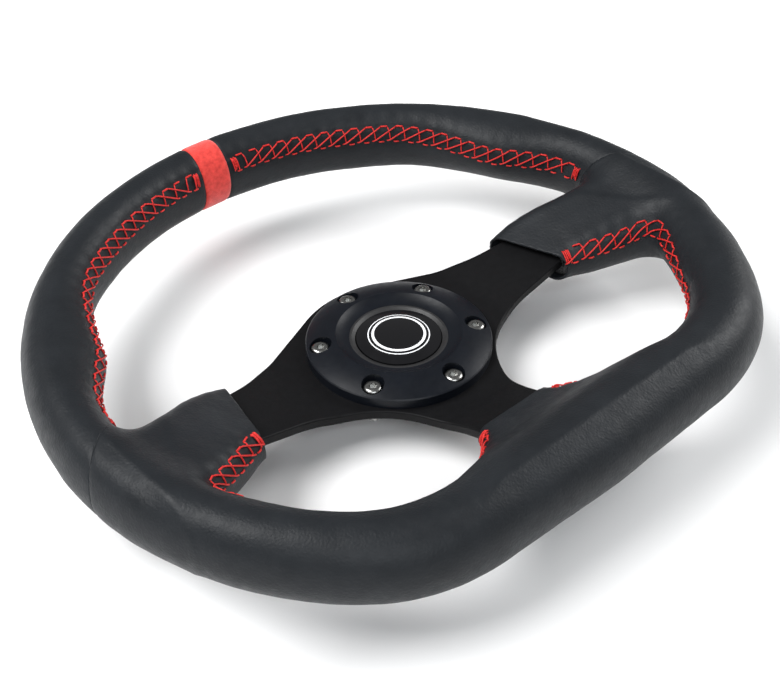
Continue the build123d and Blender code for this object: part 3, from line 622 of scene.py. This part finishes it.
def ridge(p):
    """Rise of the soft fold that runs from a notch down the grip's face and fades."""
    x, y = np.abs(p[:, 0]) - RIDGE_START[0], p[:, 1] - RIDGE_START[1]
    along = x * RIDGE_WAY[0] + y * RIDGE_WAY[1]
    across = x * RIDGE_WAY[1] - y * RIDGE_WAY[0] + RIDGE_BOW * (along / RIDGE_LENGTH) ** 2
    fade = np.clip(along / RIDGE_RUN_IN, 0, 1) * np.clip((RIDGE_LENGTH - along) / RIDGE_RUN_OUT, 0, 1)
    step = np.tanh(across / RIDGE_EDGE) * np.exp(-np.abs(across) / RIDGE_WIDTH)
    return np.where(p[:, 2] > RIDGE_FLOOR, RIDGE_RISE * fade * step, 0.0)


def stitch_pull(s, t, gap):
    """Rise of the leather by the thread: s along the seam, t up it and gap off the nearest rail."""
    pull, beyond = 0.0, t - HIGH_ROW + gap
    if t < HIGH_ROW + 0.5:
        middle = (LOW_ROW + HIGH_ROW) / 2
        pull, beyond = -ROW_PULL * np.exp(-(((t - middle) / ROW_PULL_WIDTH) ** 2)) * np.exp(-gap), 0.0
    if t > LOW_ROW:
        fade = min(1.0, (t - LOW_ROW) / (HIGH_ROW - LOW_ROW))
        crest = np.cos(2 * np.pi * s / PITCH)
        pull += PUCKER * fade * crest * np.exp(-((beyond / PUCKER_WIDTH) ** 2))
        if t > HIGH_ROW - 1:
            pull -= EDGE_PULL * fade * np.exp(-((beyond / EDGE_PULL_WIDTH) ** 2))
    return pull


def dressed(p, normals, rails):
    """Leather points with seam grooves, puckers at the stitches and soft unevenness."""
    mark, side = seam_distances(p)
    rise = ridge(p) + sum(height * wave_noise(p, length, seed) for height, length, seed in UNEVEN)
    for gap, (depth, width) in ((mark, MARK_GROOVE), (side, SEAM_GROOVE)):
        rise -= depth * np.exp(-((gap / width) ** 2))
    tree = kdtree.KDTree(len(rails))
    for i, (x, y, z, _, _) in enumerate(rails):
        tree.insert((x, y, z), i)
    tree.balance()
    pull = np.zeros(len(p))
    for i, point in enumerate(p):
        _, index, gap = tree.find(point)
        if gap < PULL_REACH:
            pull[i] = stitch_pull(*rails[index][3:], gap)
    return p + normals * (rise + pull)[:, None]


def panel_of(c):
    """Name of the leather piece that a face belongs to, or None past a cover's end."""
    if past_covers(np.array([c.x, c.y, c.z]) / MM) > 0:
        return None
    if c.y > UPPER_Y * MM and abs(c.x) < MARK_HALF * MM:
        return "centre_mark"
    side = "right" if c.x > 0 else "left"
    past = (abs(c.x) / MM - SEAM_FOOT.x) * SEAM_NORMAL.x + (c.y / MM - SEAM_FOOT.y) * SEAM_NORMAL.y
    if c.y > SEAM_BAND * MM or (past > 0 and abs(c.x) > COVER_ZONE * MM):
        return f"leather_upper_{side}"
    return "leather_lower"


def leather_panels(rails):
    """The leather pieces, each with its real thickness."""
    bm = grooved_body()
    bm.normal_update()
    bm.verts.ensure_lookup_table()
    p = np.array([v.co for v in bm.verts]) / MM
    normals, _ = slope(soft_body, p)
    p = dressed(p, normals, rails)
    bm.verts.index_update()
    groups = {}
    for face in bm.faces:
        name = panel_of(face.calc_center_median())
        if name:
            groups.setdefault(name, []).append([v.index for v in face.verts])
    bm.free()
    pieces = {}
    for name, faces in groups.items():
        used = sorted({i for f in faces for i in f})
        number = {i: n for n, i in enumerate(used)}
        points = p[used]
        if name == "centre_mark":
            points = points + normals[used] * MARK_LIFT
        mesh = mesh_of(name, points, [[number[i] for i in f] for f in faces])
        obj = new_object("trim_" + name, mesh)
        thick = obj.modifiers.new("thickness", "SOLIDIFY")
        thick.thickness = LEATHER * MM
        thick.offset = -1.0
        thick.use_rim = True
        pieces[name] = obj
        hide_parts(name)
    return pieces


def rails_of(strips):
    """Sample points over the strips with their place along and up each seam."""
    rails = []
    for strip in strips:
        for i in range(0, strip.shape[0], 2):
            for j in range(0, strip.shape[1], 2):
                rails.append((*strip[i, j], i * ROW_STEP, j * ROW_STEP))
    return rails


def mirrored(strip):
    """The same strip on the other side of the wheel."""
    return strip * np.array([-1.0, 1.0, 1.0])


# ---------------------------------------------------------------- materials
def shader(name, colour, rough, metallic=0.0, coat=0.0, sheen=0.0, specular=0.5):
    """Material with a Principled shader; returns it with its nodes and a small helper set."""
    material = bpy.data.materials.new(name)
    material.use_nodes = True
    nodes, links = material.node_tree.nodes, material.node_tree.links
    main = nodes["Principled BSDF"]
    main.inputs["Base Color"].default_value = (*colour, 1)
    main.inputs["Roughness"].default_value = rough
    main.inputs["Metallic"].default_value = metallic
    main.inputs["Coat Weight"].default_value = coat
    main.inputs["Coat Roughness"].default_value = 0.06
    main.inputs["Sheen Weight"].default_value = sheen
    main.inputs["Specular IOR Level"].default_value = specular
    return material, nodes, links, main


def noise(nodes, links, scale, detail=4.0, rough=0.55):
    """Noise in object coordinates; scale is in cells per metre."""
    place = nodes.new("ShaderNodeTexCoord")
    texture = nodes.new("ShaderNodeTexNoise")
    texture.inputs["Scale"].default_value = scale
    texture.inputs["Detail"].default_value = detail
    texture.inputs["Roughness"].default_value = rough
    links.new(place.outputs["Object"], texture.inputs["Vector"])
    return texture.outputs["Fac"]


def cells(nodes, links, scale, feature="SMOOTH_F1"):
    """Cell pattern in object coordinates."""
    place = nodes.new("ShaderNodeTexCoord")
    texture = nodes.new("ShaderNodeTexVoronoi")
    texture.feature = feature
    texture.inputs["Scale"].default_value = scale
    links.new(place.outputs["Object"], texture.inputs["Vector"])
    return texture.outputs["Distance"]


def bump(nodes, links, height, distance, strength=1.0, under=None):
    """Bump from a height, on top of another bump."""
    node = nodes.new("ShaderNodeBump")
    node.inputs["Distance"].default_value = distance
    node.inputs["Strength"].default_value = strength
    links.new(height, node.inputs["Height"])
    if under is not None:
        links.new(under, node.inputs["Normal"])
    return node.outputs["Normal"]


def ranged(nodes, links, value, low, high, from_low=0.3, from_high=0.7):
    """Value mapped to a range."""
    node = nodes.new("ShaderNodeMapRange")
    node.inputs["From Min"].default_value = from_low
    node.inputs["From Max"].default_value = from_high
    node.inputs["To Min"].default_value = low
    node.inputs["To Max"].default_value = high
    links.new(value, node.inputs["Value"])
    return node.outputs["Result"]


def mixed(nodes, links, value, one, other):
    """Colour between two by a value."""
    node = nodes.new("ShaderNodeMix")
    node.data_type = "RGBA"
    node.inputs["A"].default_value = (*one, 1)
    node.inputs["B"].default_value = (*other, 1)
    links.new(value, node.inputs["Factor"])
    return node.outputs["Result"]


def leather_material():
    """Charcoal grained leather with a satin bloom."""
    material, nodes, links, main = shader("leather_charcoal", (0.0125, 0.0145, 0.0172), 0.46, specular=0.2)
    shade = ranged(nodes, links, noise(nodes, links, 55, 3), 0.0, 1.0)
    links.new(mixed(nodes, links, shade, (0.0105, 0.0122, 0.0145), (0.0148, 0.0170, 0.0200)),
              main.inputs["Base Color"])
    links.new(ranged(nodes, links, noise(nodes, links, 260, 5), 0.41, 0.53), main.inputs["Roughness"])
    creases = bump(nodes, links, noise(nodes, links, 150, 6, 0.62), 0.0006, 0.35)
    grain = bump(nodes, links, cells(nodes, links, 1050), 0.00016, 0.55, creases)
    pores = bump(nodes, links, noise(nodes, links, 2600, 2), 0.00006, 0.4, grain)
    links.new(pores, main.inputs["Normal"])
    return material


def suede_material():
    """Red suede strip with a short nap."""
    material, nodes, links, main = shader("mark_suede", (0.70, 0.05, 0.04), 0.9, sheen=0.35, specular=0.2)
    shade = ranged(nodes, links, noise(nodes, links, 420, 5), 0.0, 1.0)
    links.new(mixed(nodes, links, shade, (0.55, 0.028, 0.022), (0.80, 0.065, 0.05)),
              main.inputs["Base Color"])
    nap = bump(nodes, links, noise(nodes, links, 2400, 4, 0.7), 0.0002, 0.8)
    links.new(bump(nodes, links, noise(nodes, links, 300, 3), 0.0004, 0.4, nap), main.inputs["Normal"])
    return material


def thread_material():
    """Red bonded thread with fine filaments."""
    material, nodes, links, main = shader("thread_red", (0.62, 0.022, 0.022), 0.5, specular=0.3)
    shade = ranged(nodes, links, noise(nodes, links, 900, 3), 0.0, 1.0)
    links.new(mixed(nodes, links, shade, (0.48, 0.012, 0.012), (0.76, 0.036, 0.030)),
              main.inputs["Base Color"])
    links.new(bump(nodes, links, noise(nodes, links, 5200, 2), 0.0001, 0.9), main.inputs["Normal"])
    return material


def coated_material(name, colour, rough, scale, depth, metallic=0.0, specular=0.5, coat=0.0):
    """Painted, moulded or bare surface with fine unevenness and a slightly changing gloss."""
    material, nodes, links, main = shader(name, colour, rough, metallic, coat, specular=specular)
    shade = ranged(nodes, links, noise(nodes, links, scale / 9, 3), 0.0, 1.0)
    links.new(mixed(nodes, links, shade, tuple(c * 0.86 for c in colour), tuple(c * 1.14 for c in colour)),
              main.inputs["Base Color"])
    links.new(ranged(nodes, links, noise(nodes, links, scale / 4, 4), rough - 0.05, rough + 0.06),
              main.inputs["Roughness"])
    links.new(bump(nodes, links, noise(nodes, links, scale, 3), depth, 0.5), main.inputs["Normal"])
    return material


def from_column(nodes, links):
    """Distance from the column's axis in metres."""
    place = nodes.new("ShaderNodeTexCoord")
    flat = nodes.new("ShaderNodeVectorMath")
    flat.operation = "MULTIPLY"
    flat.inputs[1].default_value = (1, 1, 0)
    links.new(place.outputs["Object"], flat.inputs[0])
    length = nodes.new("ShaderNodeVectorMath")
    length.operation = "LENGTH"
    links.new(flat.outputs["Vector"], length.inputs[0])
    return length.outputs["Value"]


def turned_material(name, colour, rough, metallic, line=0.00045):
    """Anodised aluminium with the fine rings of turning."""
    material, nodes, links, main = shader(name, colour, rough, metallic, specular=0.2)
    radius = from_column(nodes, links)
    wave = nodes.new("ShaderNodeMath")
    wave.operation = "MULTIPLY"
    wave.inputs[1].default_value = 2 * np.pi / line
    links.new(radius, wave.inputs[0])
    rings = nodes.new("ShaderNodeMath")
    rings.operation = "SINE"
    links.new(wave.outputs["Value"], rings.inputs[0])
    links.new(ranged(nodes, links, noise(nodes, links, 420, 4), rough - 0.04, rough + 0.05),
              main.inputs["Roughness"])
    shade = ranged(nodes, links, noise(nodes, links, 70, 3), 0.0, 1.0)
    links.new(mixed(nodes, links, shade, tuple(c * 0.85 for c in colour), tuple(c * 1.15 for c in colour)),
              main.inputs["Base Color"])
    lines = bump(nodes, links, rings.outputs["Value"], 0.000004, 0.5)
    links.new(bump(nodes, links, noise(nodes, links, 3000, 2), 0.00002, 0.5, lines), main.inputs["Normal"])
    return material


def emblem_material():
    """Gloss black disc with two plain white rings under clear resin."""
    material, nodes, links, main = shader("emblem_rings", (0.008, 0.008, 0.009), 0.16, specular=0.3)
    ramp = nodes.new("ShaderNodeValToRGB")
    ramp.color_ramp.interpolation = "CONSTANT"
    black, white = (0.008, 0.008, 0.009, 1), (0.85, 0.86, 0.88, 1)
    stops = [(10.9, white), (12.1, black), (13.3, white), (13.8, black)]
    ramp.color_ramp.elements[0].color = black
    ramp.color_ramp.elements[1].position, ramp.color_ramp.elements[1].color = stops[0][0] / 16, white
    for radius, colour in stops[1:]:
        ramp.color_ramp.elements.new(radius / 16).color = colour
    links.new(ranged(nodes, links, from_column(nodes, links), 0.0, 1.0, 0.0, 0.016), ramp.inputs["Fac"])
    links.new(ramp.outputs["Color"], main.inputs["Base Color"])
    links.new(ranged(nodes, links, noise(nodes, links, 900, 3), 0.09, 0.16), main.inputs["Roughness"])
    links.new(bump(nodes, links, noise(nodes, links, 260, 2), 0.00002, 0.4), main.inputs["Normal"])
    return material


def foam_material():
    """Dark open-cell foam."""
    material, nodes, links, main = shader("foam_dark", (0.035, 0.035, 0.036), 0.95, specular=0.2)
    shade = ranged(nodes, links, cells(nodes, links, 1400, "F1"), 0.0, 1.0, 0.0, 0.7)
    links.new(mixed(nodes, links, shade, (0.02, 0.02, 0.02), (0.05, 0.05, 0.052)), main.inputs["Base Color"])
    links.new(bump(nodes, links, cells(nodes, links, 1400, "F1"), 0.0006, 0.8), main.inputs["Normal"])
    return material


def paint(obj, material):
    """Gives a piece one material."""
    if obj.data.materials:
        for i in range(len(obj.data.materials)):
            obj.data.materials[i] = material
    else:
        obj.data.materials.append(material)


def paint_frame():
    """Finishes of the CAD nodes that stay in view."""
    bright = {"metallic": 1.0}
    spoke = coated_material("spoke_satin", (0.0052, 0.0052, 0.0058), 0.46, 3200, 0.00005, specular=0.12)
    steel = coated_material("steel_drawn", (0.42, 0.42, 0.43), 0.38, 1800, 0.00004, **bright)
    stainless = coated_material("stainless_bright", (0.34, 0.34, 0.33), 0.26, 2400, 0.00003, **bright)
    plastic = coated_material("housing_moulded", (0.017, 0.017, 0.018), 0.45, 2600, 0.00005)
    rubber = coated_material("gasket_rubber", (0.02, 0.02, 0.021), 0.8, 2200, 0.0001, specular=0.3)
    board = coated_material("base_phenolic", (0.16, 0.085, 0.045), 0.5, 1500, 0.00005)
    brass = coated_material("contact_brass", (0.70, 0.48, 0.20), 0.3, 2000, 0.00003, **bright)
    spring = coated_material("spring_wire", (0.5, 0.5, 0.52), 0.3, 2600, 0.00003, **bright)
    gloss = coated_material("cap_gloss", (0.006, 0.006, 0.007), 0.16, 700, 0.00001, specular=0.35)
    bezel = turned_material("bezel_anodised", (0.0045, 0.0058, 0.0088), 0.36, 0.0)
    finishes = {
        spoke: ["spoke_plate"],
        steel: ["rim_hoop", "clamp_right", "clamp_left", "clamp_bottom", "spoke_rivets"],
        stainless: ["hub_bolts", "contact_screw"],
        plastic: ["horn_housing", "horn_plunger"],
        rubber: ["housing_gasket"],
        board: ["contact_base"],
        brass: ["fixed_contact", "ground_ring", "live_terminal", "ground_terminal", "moving_contact",
                "terminal_rivets"],
        spring: ["horn_spring", "base_circlip"],
        gloss: ["horn_cap"],
        bezel: ["horn_bezel"],
        emblem_material(): ["emblem_disc"],
    }
    for material, names in finishes.items():
        for name in names:
            paint(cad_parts[name], material)


# ---------------------------------------------------------------- camera, light and floor
CAMERA_TURN, CAMERA_RISE, CAMERA_ROLL = radians(-40.729), radians(40.155), radians(-1.274)
CAMERA_DISTANCE = 540.0
CAMERA_SHIFT = (3.912, 5.007)              # left and down in the picture
CAMERA_AIM_Z = 8.51
LENS, SENSOR = 56.27, 36.0


def camera():
    """Camera at the photograph's angle, from over the lower left of the wheel."""
    azimuth, elevation, roll = CAMERA_TURN, CAMERA_RISE, CAMERA_ROLL
    back = Vector((sin(azimuth) * cos(elevation), -cos(azimuth) * cos(elevation), sin(elevation)))
    right = Vector((cos(azimuth), sin(azimuth), 0))
    up = back.cross(right)
    level_x = right * cos(roll) + up * sin(roll)
    level_y = up * cos(roll) - right * sin(roll)
    place = back * CAMERA_DISTANCE - level_x * CAMERA_SHIFT[0] - level_y * CAMERA_SHIFT[1]
    place = (place + Vector((0, 0, CAMERA_AIM_Z))) * MM
    data = bpy.data.cameras.new("camera")
    data.lens, data.sensor_width = LENS, SENSOR
    obj = bpy.data.objects.new("camera", data)
    bpy.context.scene.collection.objects.link(obj)
    facing = Matrix((level_x, level_y, back)).transposed().to_4x4()
    obj.matrix_world = Matrix.Translation(place) @ facing
    bpy.context.scene.camera = obj


def area_light(name, place, size, power, colour=(1, 1, 1)):
    """Soft light aimed at the hub."""
    data = bpy.data.lights.new(name, "AREA")
    data.shape, data.size, data.size_y = "RECTANGLE", size[0], size[1]
    data.energy, data.color = power, colour
    obj = bpy.data.objects.new(name, data)
    bpy.context.scene.collection.objects.link(obj)
    obj.location = place
    obj.rotation_euler = (Vector((0, 0, 0.02)) - Vector(place)).to_track_quat("-Z", "Y").to_euler()


def studio():
    """Pale plain floor, soft lights and a pale surround."""
    bm = bmesh.new()
    bmesh.ops.create_grid(bm, x_segments=1, y_segments=1, size=6.0)
    mesh = bpy.data.meshes.new("floor")
    bm.to_mesh(mesh)
    bm.free()
    floor = bpy.data.objects.new("floor", mesh)
    bpy.context.scene.collection.objects.link(floor)
    floor.location.z = cad_box[0].z - 0.0005
    material, nodes, links, main = shader("floor_pale", (0.93, 0.93, 0.93), 0.75)
    links.new(ranged(nodes, links, noise(nodes, links, 3, 2), 0.7, 0.8), main.inputs["Roughness"])
    paint(floor, material)
    world = bpy.data.worlds.new("studio")
    world.use_nodes = True
    world.node_tree.nodes["Background"].inputs["Color"].default_value = (1.0, 1.0, 1.0, 1)
    world.node_tree.nodes["Background"].inputs["Strength"].default_value = 0.22
    bpy.context.scene.world = world
    area_light("key", (-1.1, 0.6, 1.9), (1.6, 1.2), 62.0)
    area_light("side", (2.0, -0.5, 1.3), (1.2, 1.2), 38.0)
    area_light("fill", (-1.0, -1.6, 1.6), (1.6, 1.0), 22.0, (0.93, 0.97, 1.0))
    bpy.context.scene.view_settings.view_transform = "Standard"


# ---------------------------------------------------------------- the object
END_CLEAR = 1.2                            # a seam stops this far from a cover's end
MARK_CLEAR = 0.8                           # and starts this far from the centre mark
SIDE_START = 2.5                           # the lower seam starts this far inside a side cover's end
NOTCH_POINTS = 6                           # points left out at the notch


def arc_fall(edge):
    """How far the upper seam sinks down the grip's inner wall toward the notch."""
    return np.interp(np.degrees(np.arctan2(edge[:, 1], edge[:, 0])), [6, 30, 48], [3.4, 3.0, 0])


def lower_fall(edge):
    """How far the lower seam sinks down the wall along the bottom of its opening."""
    return np.interp(-edge[:, 1], [40, 72], [0, 10.5]) * np.interp(edge[:, 0], [27, 42], [0.45, 1])


def seams():
    """The walked strips of the right side's seams: upper arc, cover's upper edge, lower opening."""
    def by_end(p):
        return past_covers(np.array([*p, 0.0])) > -END_CLEAR

    upper = opening_edge((MARK_HALF + MARK_CLEAR, ARC - INNER_HALF[-1][1]), (1, 0),
                         lambda p: by_end(p) and p[1] < HUB_CLEAR)
    notch = next(i for i, p in enumerate(upper) if p[1] < NOTCH_Y and p[0] > COVER_ZONE)
    lower = opening_edge((COVER_END + SIDE_START, -SIDE_LOW), (1, 0),
                         lambda p: by_end(p) and p[1] < -HUB_CLEAR)
    arc, hidden = upper[:notch], upper[notch + NOTCH_POINTS:]
    return (seam_strip(arc, fall=arc_fall), seam_strip(hidden, HIDDEN_ROWS),
            seam_strip(lower, fall=lower_fall))


def soft_goods():
    """Leather, foam and stitching in place of their CAD stand-ins."""
    arc, hidden, lower = seams()
    rails = rails_of([arc, hidden, lower])
    rails += rails_of([mirrored(strip) for strip in (arc, hidden, lower)])
    panels = leather_panels(rails)
    leather, suede = leather_material(), suede_material()
    for name, obj in panels.items():
        paint(obj, suede if name == "centre_mark" else leather)
    verts, faces = skin(foam_body, FOAM_STEP)
    foam = new_object("foam_core", mesh_of("foam_core", verts, faces))
    paint(foam, foam_material())
    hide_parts("rim_foam")
    thread = thread_material()
    for name, strips in (("seam_upper", (arc, hidden, mirrored(arc), mirrored(hidden))),
                         ("seam_lower_right", (lower,)),
                         ("seam_lower_left", (mirrored(lower),))):
        bm = bmesh.new()
        for strip in strips:
            stitch(bm, strip)
        bmesh.ops.recalc_face_normals(bm, faces=bm.faces)
        mesh = bpy.data.meshes.new(name)
        bm.to_mesh(mesh)
        bm.free()
        obj = new_object("stitches_" + name, smooth(mesh))
        paint(obj, thread)
        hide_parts(name)


camera()
studio()
paint_frame()
soft_goods()
